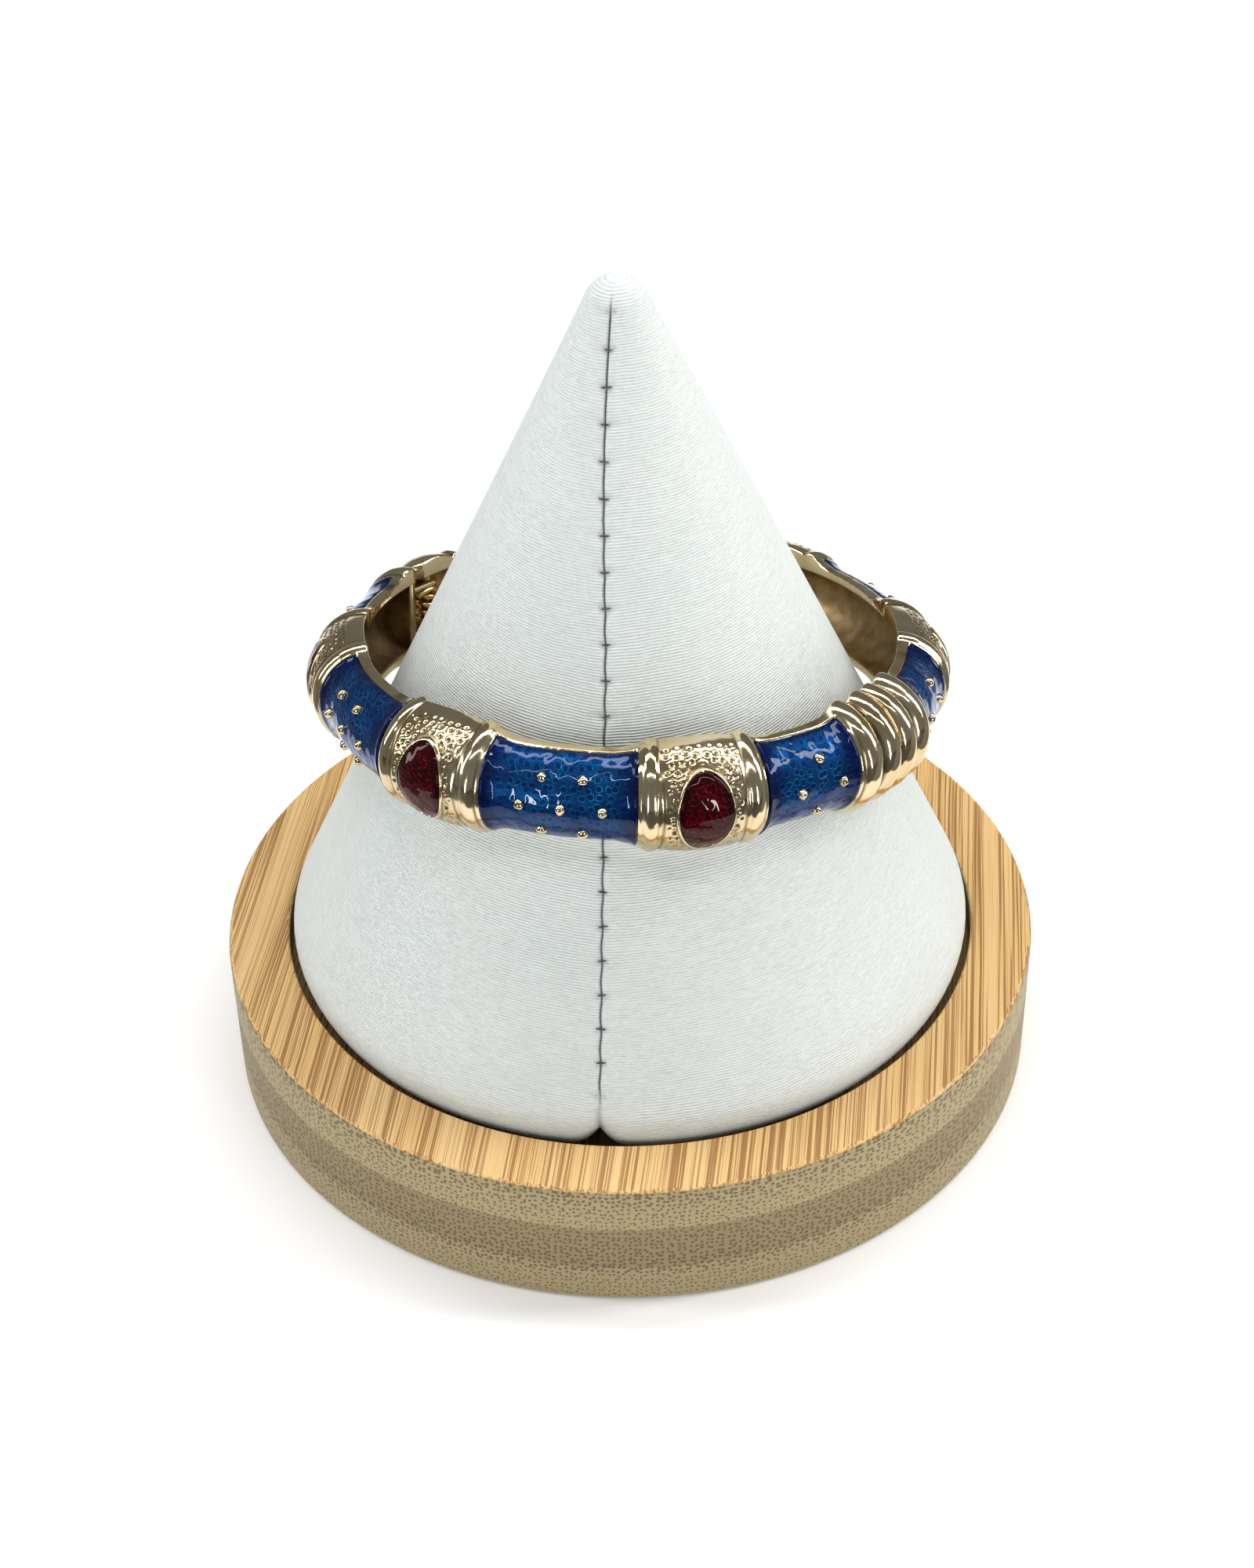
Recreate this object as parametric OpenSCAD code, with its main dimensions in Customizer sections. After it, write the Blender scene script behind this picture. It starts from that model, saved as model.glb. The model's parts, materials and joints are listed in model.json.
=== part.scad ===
// Spring-hinged bangle of gilt cast metal, with blue enamel panels and red enamel ovals,
// resting closed on a covered display cone in a round bamboo base.
// Millimetres and degrees. Origin: centre of the base's underside, +Z up, front towards -Y.
// Angles round the bangle are counted from the front towards +X.

/* [Bangle ring] */
// Inner radius of the closed bangle
inner_r = 29; // [27:0.5:31]
// Radius of the half-round section at the enamel panels
panel_r = 5; // [4.8:0.1:5.4]
// Radius of the open hollow at the back of the section
hollow_r = 3.9; // [3.4:0.1:4.1]
// Width of the plain gold lip beside the enamel
lip_w = 1.2; // [0.9:0.1:1.6]
// Thickness of the panel enamel
enamel_t = 0.4; // [0.3:0.05:0.5]
// Gap between an enamel piece and its pocket
enamel_gap = 0.04; // [0.02:0.01:0.08]
// Gap between the two half rings at the opening
seam_gap = 0.2; // [0.1:0.05:0.3]

/* [Raised sections] */
// Angle that a raised section with a red oval takes up
raised_deg = 21.8; // [20:0.2:23]
// Top radius of the polished beads
bead_top_r = 6.1; // [5.9:0.1:6.5]
// Rounding radius of a bead
bead_round = 1.25; // [1.1:0.05:1.35]
// Top radius of the cushion between two beads
cushion_top_r = 6.15; // [5.9:0.05:6.3]
// How much lower the cushion's ends are than its middle
cushion_drop = 0.5; // [0.3:0.05:0.7]
// Half width of the red oval, along the ring
oval_half_w = 2.75; // [2.4:0.05:3]
// Half height of the red oval, along the bangle's axis
oval_half_h = 4.2; // [3.8:0.05:4.4]
// Width of the thin rim round the oval
bezel_w = 0.4; // [0.3:0.05:0.5]
// Height of the thin rim above the cushion
bezel_h = 0.22; // [0.15:0.01:0.3]
// Height of the red dome above the cushion's top
dome_h = 0.4; // [0.3:0.05:0.5]
// Depth of the oval's pocket below the cushion's top
oval_depth = 0.9; // [0.7:0.05:1]

/* [Ribs and balls] */
// Angle from one rib to the next
rib_deg = 5.43; // [5.2:0.05:5.6]
// Top radius of the ribs
rib_top_r = 6.25; // [6.1:0.05:6.4]
// Rounding radius of a rib
rib_round = 1.7; // [1.6:0.05:1.8]
// Radius of the small gold balls in the enamel
ball_r = 0.57; // [0.5:0.01:0.62]
// Angle between the rows of balls, round the section
ball_row_deg = 36; // [32:1:42]

/* [Hinge] */
// Radius of the hinge pin
pin_r = 0.6; // [0.5:0.05:0.65]
// Running clearance round the pin
pin_clear = 0.05; // [0.03:0.01:0.08]
// Distance of the pin's axis outside the inner radius
pin_out = 1.55; // [1.5:0.05:1.8]
// Half length of the pin
pin_half = 4.6; // [4.2:0.1:4.8]
// Distance from the pin's axis to the front half's end face
face_out = 3.6; // [3.3:0.05:3.8]
// Gap between that face and the back half's knuckle
face_gap = 0.15; // [0.1:0.01:0.25]
// Thickness of the wall that closes the front half at the hinge
end_wall = 0.9; // [0.6:0.05:1.2]
// Rounding radius of the bead at that end
end_bead_round = 1.6; // [1.4:0.05:1.8]
// Top radius of that bead
end_bead_top_r = 6.1; // [6:0.05:6.4]
// Radius of the back half's round knuckle
knuckle_r = 6.1; // [5.9:0.05:6.3]
// Outer radius of the hinge lugs
lug_r = 1.35; // [1.25:0.05:1.4]
// Thickness of one lug
lug_t = 0.48; // [0.4:0.02:0.5]
// Half height over the pair of lugs
lug_top_z = 3; // [2.8:0.05:3.1]
// Gap between a lug and what lies beside it
lug_gap = 0.1; // [0.06:0.02:0.14]
// Widest opening of the hinge
open_deg = 38; // [30:1:40]
// Diameter of the spring wire
wire_d = 0.7; // [0.6:0.02:0.86]
// Number of turns of the spring
spring_turns = 4; // [3:1:4]

/* [Stand] */
// Width of the bamboo base's rim round the recess
base_rim_w = 6.95; // [5:0.05:9]
// Thickness of the bamboo base
base_h = 15.9; // [14:0.1:18]
// Clearance between the cone's widest round and the recess
recess_clear = 0.95; // [0.4:0.05:1.5]
// Depth of the recess
recess_h = 3.4; // [2.5:0.1:5]
// Rounding of the base's edges
base_edge = 0.4; // [0.2:0.1:0.8]
// Gap under the cone
cone_seat_gap = 0.05; // [0.02:0.01:0.1]
// Angle between the cone's side and its axis
cone_half_deg = 25.06; // [24.5:0.02:25.5]
// Height of the cone's unrounded point above the ground
cone_apex_z = 100.67; // [99:0.1:101]
// Rounding radius of the cone's tip
tip_round = 3.5; // [2:0.1:4.5]
// Rounding radius of the cone's lower edge
foot_round = 5; // [4:0.1:6]

/* [Rest on the cone] */
// Lean of the bangle to the back, lower at the back
lean_back = 10.45; // [8:0.05:12]
// Lean of the bangle to the right, lower at the right
lean_right = 1.8; // [0:0.1:3]
// Mean clearance between the cone and the bangle's lower rim
cone_clear = 0.6; // [0.45:0.01:0.8]

/* [Hidden] */
$fn = 96;

gold = [0.85, 0.72, 0.45];
blue = [0.03, 0.15, 0.5];
red = [0.5, 0.02, 0.08];
bamboo = [0.82, 0.64, 0.38];
cover = [0.9, 0.92, 0.91];

// Places round the ring
hinge_at = -129.6;
seam_at = 53.5;
turn = 360;
oval_at = [-87, -38.5, 11.6, 93.9, 142.9, 191.9];
front_ovals = 3;
ribs_from = seam_at - 2 * rib_deg;
ribs_to = seam_at + 2 * rib_deg;
half_raised = raised_deg / 2;

// How far a cutter reaches past what it cuts, and a distance outside the whole bangle
beyond = 1;
beyond_deg = 10;
far = 60;

// Hinge end of the front half: its end face, its bead and the wall inside it
pin_at_r = inner_r + pin_out;
end_bead_deg = asin((face_out + end_bead_round) / (inner_r + panel_r));
end_panel_deg = asin((face_out + 2 * end_bead_round) / (inner_r + panel_r));
end_wall_deg = asin((face_out + end_wall) / inner_r);

// Hinge end of the back half: a ball that turns on the pin, just clear of that face, with its inner edge
// bevelled so that it stays off the cone as it opens
knuckle_reach = face_out - face_gap;
knuckle_bevel_deg = 48;
knuckle_deg = 2 * asin(sqrt(knuckle_r * knuckle_r - panel_r * panel_r) / (2 * inner_r));

// How far the back half's wall runs on past the pin, inside the ball
knuckle_in_deg = 2;

// Panel table. Columns: first angle, last angle, its balls' shift from its middle, balls in the middle row,
// angle between two balls of a row
PANEL_FROM = 0;
PANEL_TO = 1;
BALLS_SHIFT = 2;
BALLS_N = 3;
BALLS_STEP = 4;
long_step = 7.2;
short_step = 9;
panels = [
    [hinge_at + end_panel_deg, oval_at[0] - half_raised, 0, 2, short_step],
    [oval_at[0] + half_raised, oval_at[1] - half_raised, -1.25, 3, long_step],
    [oval_at[1] + half_raised, oval_at[2] - half_raised, 0.65, 3, long_step],
    [oval_at[2] + half_raised, ribs_from, 1.6, 2, short_step],
    [ribs_to, oval_at[3] - half_raised, 0.8, 2, short_step],
    [oval_at[3] + half_raised, oval_at[4] - half_raised, 0, 3, long_step],
    [oval_at[4] + half_raised, oval_at[5] - half_raised, 0, 3, long_step],
    [oval_at[5] + half_raised, turn + hinge_at - knuckle_deg, 0, 2, short_step]];
front_panels = 4;
pocket_margin_deg = 0.5;
enamel_gap_deg = enamel_gap / inner_r * 180 / PI;
floor_r = panel_r - enamel_t;
ball_seat = 0.02;
ball_sides = 24;

// Inside the hinge: the lugs, and the spring between them
lug_z = lug_top_z - lug_t;
coil_half = lug_z - lug_gap;
wire_clear = 0.08;
coil_r = pin_r + wire_clear + wire_d / 2;
pin_end_gap = 0.05;

// Room inside the knuckle: half its height, and its reach round the pin
hinge_room_half = lug_top_z + lug_gap;
hinge_room = coil_r + wire_d / 2 + wire_clear;

// Cone and the bangle's place on it
slope = tan(cone_half_deg);
cone_floor_z = base_h - recess_h + cone_seat_gap;
foot_z = cone_floor_z + foot_round;
foot_x = ((cone_apex_z - foot_z) * sin(cone_half_deg) - foot_round) / cos(cone_half_deg);
tip_z = cone_apex_z - tip_round / sin(cone_half_deg);
recess_r = foot_x + foot_round + recess_clear;
base_r = recess_r + base_rim_w;
seat_depth = (inner_r - cone_clear) / slope;
rim_half = max(rib_top_r, bead_top_r, end_bead_top_r, knuckle_r);
bangle_x = slope * slope * seat_depth * tan(lean_right) + rim_half * sin(lean_right);
bangle_y = slope * slope * seat_depth * tan(lean_back) + rim_half * sin(lean_back);
bangle_z = cone_apex_z - seat_depth + rim_half * cos(lean_back);

// A point at radius r and angle a round the ring
function polar(r, a) = [r * sin(a), -r * cos(a)];

// A point beside the line at angle a, t further round and r out
function beside(r, a, t) = polar(r, a) + t * [cos(a), sin(a)];

// An arc of far-away points that encloses one half of the ring
function far_arc(from, to) = [for (i = [0:8]) polar(far, from + (to - from) * i / 8)];

module on_cone() {
    translate([bangle_x, bangle_y, bangle_z])
    rotate([-lean_back, lean_right, 0]) children();
}

// Sweeps a section, drawn as radius and height, between two angles
module sweep(from, to) {
    rotate([0, 0, from - 90])
    rotate_extrude(angle = to - from) children();
}

// Turns a section, drawn as radius and place along the ring, round the section's centre
module around_section(at) {
    rotate([0, 0, at])
    translate([0, -inner_r, 0])
    rotate([0, 90, 0])
    rotate_extrude() children();
}

// Disc across the section with a round edge
module ring_bead(at, top_r, round_r) {
    around_section(at) intersection() {
        union() {
            translate([top_r - round_r, 0]) circle(round_r);
            translate([0, -round_r]) square([top_r - round_r, 2 * round_r]);
        }
        translate([0, -round_r]) square([top_r, 2 * round_r]);
    }
}

// Two ribs side by side, half a rib step each side of their middle
module rib_pair(at) {
    half_step = (inner_r + panel_r) * sin(rib_deg / 2);
    around_section(at) {
        for (side = [-1, 1]) translate([rib_top_r - rib_round, side * half_step]) circle(rib_round);
        translate([0, -half_step - rib_round])
            square([rib_top_r - rib_round, 2 * (half_step + rib_round)]);
    }
}

// Barrel with its top radius in the middle, lower by drop at its ends
module barrel(at, half_len, top_r, drop) {
    steps = 8;
    around_section(at) polygon(concat([[0, -half_len]],
        [for (i = [0:steps]) let (s = 2 * i / steps - 1) [top_r - drop * s * s, s * half_len]],
        [[0, half_len]]));
}

// Upright oval column that points out of the ring, cut off at its centre
module oval_column(at, grow) {
    sides = 40;
    rotate([0, 0, at])
    translate([0, -inner_r, 0])
    rotate([90, 0, 0])
    linear_extrude(cushion_top_r + dome_h + beyond) polygon([for (i = [0:sides - 1])
        [(oval_half_w + grow) * cos(i * turn / sides), (oval_half_h + grow) * sin(i * turn / sides)]]);
}

// Angle from the end of a raised section to the middle of its bead, whose side swells past that end
bead_swell_deg = 0.16;
bead_mid_deg = asin(bead_round / (inner_r + panel_r)) - bead_swell_deg;

// Half length of the cushion between the two beads of a raised section
cushion_half = (inner_r + panel_r) * sin(half_raised - bead_mid_deg) - bead_round / 2;

module raised_section(at) {
    for (side = [-1, 1])
        ring_bead(at + side * (half_raised - bead_mid_deg), bead_top_r, bead_round);
    barrel(at, cushion_half, cushion_top_r, cushion_drop);
    intersection() {
        barrel(at, cushion_half, cushion_top_r + bezel_h, cushion_drop);
        oval_column(at, bezel_w);
    }
}

module oval_pocket(at) {
    difference() {
        oval_column(at, 0);
        barrel(at, cushion_half, cushion_top_r - oval_depth, 0);
    }
}

module enamel_section(outer_r, inner_edge_r, gap) {
    intersection() {
        translate([inner_r, 0]) difference() {
            circle(outer_r);
            circle(inner_edge_r);
        }
        translate([inner_r + lip_w + gap, -outer_r]) square([outer_r, 2 * outer_r]);
    }
}

// Small balls on a panel, in three rows, with their poles pointing out of the ring
module balls(panel, r) {
    for (row = [-1:1])
        let (n = panel[BALLS_N] - abs(row),
            mid = (panel[PANEL_FROM] + panel[PANEL_TO]) / 2 + panel[BALLS_SHIFT])
            for (i = [0:n - 1])
                rotate([0, 0, mid + (i - (n - 1) / 2) * panel[BALLS_STEP]])
                translate([0, -inner_r, 0])
                rotate([-row * ball_row_deg, 0, 0])
                translate([0, -panel_r + ball_seat, 0])
                rotate([90, 0, 0]) sphere(r, $fn = ball_sides);
}

// Where the far edge of each half's space starts, past the hinge and past the opening
hinge_side_deg = 45;
seam_side_deg = 20;

// Outline, seen from above, of the space that the front half may fill
module front_zone() {
    linear_extrude(far, center = true)
    polygon(concat([beside(inner_r / 2, hinge_at, face_out), beside(far, hinge_at, face_out)],
        far_arc(hinge_at + hinge_side_deg, seam_at - seam_side_deg),
        [beside(far, seam_at, -seam_gap / 2), beside(inner_r / 2, seam_at, -seam_gap / 2)]));
}

// Outline of the back half's space. Its knuckle is rounded about the pin, and leans by the opening angle
module back_zone() {
    steps = 6;
    linear_extrude(far, center = true)
    polygon(concat([beside(inner_r / 2, seam_at, seam_gap / 2), beside(far, seam_at, seam_gap / 2)],
        far_arc(seam_at + seam_side_deg, turn + hinge_at - hinge_side_deg),
        [beside(far, hinge_at, (knuckle_reach - (far - pin_at_r) * sin(open_deg)) / cos(open_deg))],
        [for (i = [steps:-1:0]) let (a = open_deg * i / steps)
            beside(pin_at_r + knuckle_reach * sin(a), hinge_at, knuckle_reach * cos(a))],
        [beside(inner_r / 2, hinge_at, knuckle_reach - (pin_at_r - inner_r / 2) * tan(knuckle_bevel_deg))]));
}

// Ball that ends the back half
module knuckle_ball() {
    around_section(hinge_at) intersection() {
        circle(knuckle_r);
        translate([0, -knuckle_r]) square([knuckle_r, 2 * knuckle_r]);
    }
}

// Room inside the knuckle for the spring and for the lugs as they turn, and the bore for the pin
module knuckle_room() {
    lean_gap = lug_gap / cos(open_deg);
    rotate([0, 0, hinge_at])
    translate([0, -pin_at_r, 0]) {
        linear_extrude(2 * hinge_room_half, center = true) polygon([
            [-hinge_room, 2 * pin_out], [-hinge_room, -hinge_room],
            [(hinge_room - lean_gap) / tan(open_deg), -hinge_room],
            [face_out, -face_out * tan(open_deg) - lean_gap], [face_out, 2 * pin_out]]);
        cylinder(h = 2 * (pin_half + pin_end_gap), r = pin_r + pin_clear, center = true);
    }
}

// The front half's pair of lugs, with arms from the end wall that stay inside the pin's middle line
module lugs() {
    arm = face_out + end_wall / 2;
    rotate([0, 0, hinge_at])
    translate([0, -pin_at_r, 0])
    for (up = [-1, 1])
        translate([0, 0, up * (lug_z + lug_t / 2)])
        difference() {
            union() {
                cylinder(h = lug_t, r = lug_r, center = true);
                translate([arm / 2, lug_r / 2, 0]) cube([arm, lug_r, lug_t], center = true);
            }
            cylinder(h = 2 * lug_t, r = pin_r + pin_clear, center = true);
        }
}

// One half of the ring: first and last angle of its wall and of its hollow, its ovals, panels and ribs.
// The child is the form at its hinge end
module half_ring(from, to, hollow_from, hollow_to, ovals, its_panels, ribs_mid) {
    difference() {
        union() {
            sweep(from, to) translate([inner_r, 0]) circle(panel_r);
            for (at = ovals) raised_section(at);
            rib_pair(ribs_mid);
            children();
        }
        sweep(hollow_from, hollow_to) translate([inner_r, 0]) circle(hollow_r);
        cylinder(h = far, r = inner_r, center = true);
        for (at = ovals) oval_pocket(at);
        for (p = its_panels)
            sweep(p[PANEL_FROM] + pocket_margin_deg, p[PANEL_TO] - pocket_margin_deg)
            enamel_section(panel_r + beyond, floor_r, 0);
    }
    for (p = its_panels) balls(p, ball_r);
}

module front_shell() {
    color(gold) on_cone() {
        intersection() {
            half_ring(hinge_at, seam_at, hinge_at + end_wall_deg, seam_at + beyond_deg,
                [for (i = [0:front_ovals - 1]) oval_at[i]],
                [for (i = [0:front_panels - 1]) panels[i]],
                seam_at - rib_deg)
            ring_bead(hinge_at + end_bead_deg, end_bead_top_r, end_bead_round);
            front_zone();
        }
        lugs();
    }
}

module back_shell() {
    color(gold) on_cone()
    difference() {
        intersection() {
            half_ring(seam_at, turn + hinge_at + knuckle_in_deg,
                seam_at - beyond_deg, turn + hinge_at + knuckle_deg + beyond_deg,
                [for (i = [front_ovals:len(oval_at) - 1]) oval_at[i]],
                [for (i = [front_panels:len(panels) - 1]) panels[i]],
                seam_at + rib_deg)
            knuckle_ball();
            back_zone();
        }
        knuckle_room();
    }
}

module hinge_pin() {
    color(gold) on_cone()
    rotate([0, 0, hinge_at])
    translate([0, -pin_at_r, 0])
    cylinder(h = 2 * pin_half, r = pin_r, center = true);
}

// Coil round the pin, with one short leg towards the front half
module hinge_spring() {
    per_turn = 16;
    sides = 8;
    rings = spring_turns * per_turn;
    leg = 1.2;
    spine = concat(
        [for (i = [0:rings])
            [coil_r * sin(i * turn / per_turn), coil_r * cos(i * turn / per_turn),
            (i / per_turn - spring_turns / 2) * (2 * coil_half - wire_d) / spring_turns]],
        [[leg, coil_r, coil_half - wire_d / 2]]);
    points = [for (i = [0:len(spine) - 1])
        let (ahead = spine[min(i + 1, len(spine) - 1)] - spine[max(i - 1, 0)],
            along = ahead / norm(ahead),
            side = cross(along, [0, 0, 1]) / norm(cross(along, [0, 0, 1])),
            over = cross(side, along))
        for (k = [0:sides - 1])
            spine[i] + wire_d / 2 * (cos(k * turn / sides) * side + sin(k * turn / sides) * over)];
    walls = [for (i = [0:len(spine) - 2], k = [0:sides - 1], upper = [false, true])
        let (a = i * sides + k, b = i * sides + (k + 1) % sides)
        upper ? [a, b + sides, a + sides] : [a, b, b + sides]];
    color(gold) on_cone()
    rotate([0, 0, hinge_at])
    translate([0, -pin_at_r, 0])
    polyhedron(points, concat(walls,
        [[for (k = [sides - 1:-1:0]) k]],
        [[for (k = [0:sides - 1]) (len(spine) - 1) * sides + k]]));
}

module blue_enamel(i) {
    p = panels[i - 1];
    inset = pocket_margin_deg + enamel_gap_deg;
    color(blue) on_cone()
    difference() {
        sweep(p[PANEL_FROM] + inset, p[PANEL_TO] - inset)
        enamel_section(panel_r, floor_r + enamel_gap, enamel_gap);
        balls(p, ball_r + enamel_gap);
    }
}

module red_oval(i) {
    at = oval_at[i - 1];
    color(red) on_cone()
    difference() {
        intersection() {
            barrel(at, oval_half_w, cushion_top_r + dome_h, bezel_h / 2);
            oval_column(at, -enamel_gap);
        }
        barrel(at, 2 * oval_half_w, cushion_top_r - oval_depth + enamel_gap, 0);
    }
}

module display_cone() {
    side = [cos(cone_half_deg), sin(cone_half_deg)];
    color(cover)
    rotate_extrude() {
        polygon([[0, cone_floor_z], [foot_x, cone_floor_z],
            [foot_x, foot_z] + foot_round * side, [0, tip_z] + tip_round * side, [0, tip_z]]);
        translate([foot_x, foot_z]) circle(foot_round);
        intersection() {
            translate([0, tip_z]) circle(tip_round);
            translate([0, tip_z]) square(2 * tip_round);
        }
    }
}

module bamboo_base() {
    color(bamboo)
    rotate_extrude() polygon([[0, 0], [base_r - base_edge, 0], [base_r, base_edge],
        [base_r, base_h - base_edge], [base_r - base_edge, base_h],
        [recess_r, base_h], [recess_r, base_h - recess_h], [0, base_h - recess_h]]);
}

bamboo_base();
display_cone();
front_shell();
back_shell();
hinge_pin();
hinge_spring();
for (i = [1:8]) blue_enamel(i);
for (i = [1:6]) red_oval(i);
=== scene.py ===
import json
import math

import bmesh
import bpy
import numpy as np
from mathutils import Matrix, Vector


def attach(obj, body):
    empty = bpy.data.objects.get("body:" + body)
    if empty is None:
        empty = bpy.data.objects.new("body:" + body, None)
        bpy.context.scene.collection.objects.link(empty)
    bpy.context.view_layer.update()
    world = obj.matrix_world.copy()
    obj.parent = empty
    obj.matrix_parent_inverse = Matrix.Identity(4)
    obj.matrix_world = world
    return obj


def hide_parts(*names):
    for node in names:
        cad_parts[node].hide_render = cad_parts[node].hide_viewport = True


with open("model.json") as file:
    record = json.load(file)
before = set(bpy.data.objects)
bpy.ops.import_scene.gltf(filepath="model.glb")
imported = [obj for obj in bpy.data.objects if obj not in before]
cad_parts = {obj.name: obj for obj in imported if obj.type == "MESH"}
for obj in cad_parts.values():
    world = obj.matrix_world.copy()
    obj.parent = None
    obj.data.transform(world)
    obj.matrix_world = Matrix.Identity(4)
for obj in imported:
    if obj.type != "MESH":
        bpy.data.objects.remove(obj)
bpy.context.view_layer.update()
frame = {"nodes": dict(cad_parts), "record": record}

MM = 0.001

# Camera, as fitted to the photograph
CAMERA_AT = (0, -0.23927, 0.2152)
CAMERA_TILT, CAMERA_ROLL = math.radians(52.76), math.radians(-1.22)
camera_data = bpy.data.cameras.new("camera")
camera_data.lens = 76.97
camera_data.sensor_width = 36
camera_data.sensor_fit = "HORIZONTAL"
camera_data.clip_start = 0.01
camera = bpy.data.objects.new("camera", camera_data)
bpy.context.collection.objects.link(camera)
camera.matrix_world = (Matrix.Translation(CAMERA_AT)
                       @ Matrix.Rotation(CAMERA_TILT, 4, "X")
                       @ Matrix.Rotation(CAMERA_ROLL, 4, "Z"))
bpy.context.scene.camera = camera

# Sizes, in mm and degrees, as in the CAD
INNER = 29.0
PANEL, FLOOR, HOLLOW = 5.0, 4.6, 3.9
OUTER = INNER + PANEL
PER_DEG = OUTER * math.pi / 180
HINGE, SEAM = -129.6, 53.5
OVALS = [-87, -38.5, 11.6, 93.9, 142.9, 191.9]
GAP_HALF = 0.1

# Raised sections: their beads, the crowned ground between them, and the ovals with their rims
HALF_RAISED = 10.9
BEAD_TOP, BEAD_ROUND = 6.1, 1.25
BEAD_MID = math.degrees(math.asin(BEAD_ROUND / OUTER)) - 0.16
CUSHION_TOP, CUSHION_DROP = 6.15, 0.5
CUSHION_HALF = OUTER * math.sin(math.radians(HALF_RAISED - BEAD_MID)) - BEAD_ROUND / 2
OVAL_W, OVAL_H, BEZEL = 2.75, 4.2, 0.15
BEZEL_WIDE, BEZEL_HIGH = 0.17, 0.22
RED_FOOT, RED_EDGE, RED_TOP = 5.4, 6.27, 6.56

# Ribs at the opening
RIB_STEP, RIB_TOP, RIB_ROUND = 5.43, 6.25, 1.7
RIBS = 2 * RIB_STEP

# Hinge: the pin, the front half's end bead and wall, the back half's knuckle and the room in it
PIN_AT = 30.55
FACE_OUT, END_WALL, END_TOP, END_ROUND = 3.6, 0.9, 6.1, 1.6
END_DEG = math.degrees(math.asin((FACE_OUT + END_ROUND) / OUTER))
END_PANEL = math.degrees(math.asin((FACE_OUT + 2 * END_ROUND) / OUTER))
KNUCKLE, REACH = 6.1, 3.45
KNUCKLE_DEG = 2 * math.degrees(math.asin(math.sqrt(KNUCKLE ** 2 - PANEL ** 2) / (2 * INNER)))
OPEN, BEVEL = math.radians(38), math.radians(48)
ROOM, ROOM_HALF, ROOM_FROM = 1.46, 3.1, 1.7
LUG_R, LUG_LONG, LUG_MIDDLE = 1.35, 4.05, np.array([1.0, 0.5])
LUG_LAYERS = [(0.95, 2.52), (1, 2.58), (1, 2.94), (0.95, 3.0)]

# Enamel panels: both ends, the shift of their balls, and the balls in the middle row
LIP_DEG = 76.0
FLARE, FLARE_LONG = 0.62, 3.2
PANELS = [
    (HINGE + END_PANEL, OVALS[0] - HALF_RAISED, 0, 2),
    (OVALS[0] + HALF_RAISED, OVALS[1] - HALF_RAISED, -1.25, 3),
    (OVALS[1] + HALF_RAISED, OVALS[2] - HALF_RAISED, 0.65, 3),
    (OVALS[2] + HALF_RAISED, SEAM - RIBS, 1.6, 2),
    (SEAM + RIBS, OVALS[3] - HALF_RAISED, 0.8, 2),
    (OVALS[3] + HALF_RAISED, OVALS[4] - HALF_RAISED, 0, 3),
    (OVALS[4] + HALF_RAISED, OVALS[5] - HALF_RAISED, 0, 3),
    (OVALS[5] + HALF_RAISED, 360 + HINGE - KNUCKLE_DEG, 0, 2)]
BALL_R, BALL_ROW, BALL_SIT = 0.57, 36.0, 4.98
BALL_STEP = {2: 9, 3: 7.2}

# Section of the half rings: points on the skin, the hollow and each lip, and the skin's last angle
SKIN, BORE, LIP = 145, 37, 5
SKIN_DEG, CORNER = 87.6, 0.25
BORE_FIRST, BORE_LAST = SKIN + LIP, SKIN + LIP + BORE - 1

# Distances from the end faces, in mm, within which the rows of the mesh turn to follow them
SEAM_EASE = 3.0
FRONT_EASE = 6.4
BACK_EASE, BACK_TURNED = -5.0, -2.5
FARTHEST = 8.0

# The two bodies, and what each side carries: 1 is the front half, -1 the back half
FRONT, BACK = "front_half_and_stand", "back_half"
SIDE_HINGE = {1: HINGE, -1: HINGE + 360}
SIDE_OVALS = {1: OVALS[:3], -1: OVALS[3:]}
SIDE_PANELS = {1: PANELS[:4], -1: PANELS[4:]}

# The ring's own frame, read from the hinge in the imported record
joint = frame["record"]["behaviour"]["joints"][0]
ax = joint["axis"]
lean_back, lean_right = math.asin(ax[1]), math.atan2(ax[0], ax[2])
ca, sa, cb, sb = math.cos(lean_back), math.sin(lean_back), math.cos(lean_right), math.sin(lean_right)
TURN = np.array([[cb, 0, sb], [0, 1, 0], [-sb, 0, cb]]) @ np.array([[1, 0, 0], [0, ca, sa], [0, -sa, ca]])


def around(r, angle, z):
    """Points at a radius, an angle in radians round from the front, and a height."""
    return np.stack(np.broadcast_arrays(r * np.sin(angle), -r * np.cos(angle), z), -1)


def turned(x, y, z, deg):
    """Points turned about the Z axis."""
    c, s = math.cos(math.radians(deg)), math.sin(math.radians(deg))
    return np.stack(np.broadcast_arrays(x * c - y * s, x * s + y * c, z), -1)


CENTRE = np.array(joint["pos_m"]) / MM - TURN @ around(PIN_AT, math.radians(HINGE), 0)


def to_frame(points):
    """Points of the ring's own frame, in mm, to the shared frame, in metres."""
    return (np.asarray(points) @ TURN.T + CENTRE) * MM


def smooth(x, a, b):
    """Smooth step from 0 at a to 1 at b."""
    t = np.clip((np.asarray(x, float) - a) / (b - a), 0, 1)
    return t * t * (3 - 2 * t)


def bell(x, width, power=2):
    """Bump of height 1 where x is 0, which fades over a width."""
    return np.exp(-(x / width) ** power)


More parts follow.
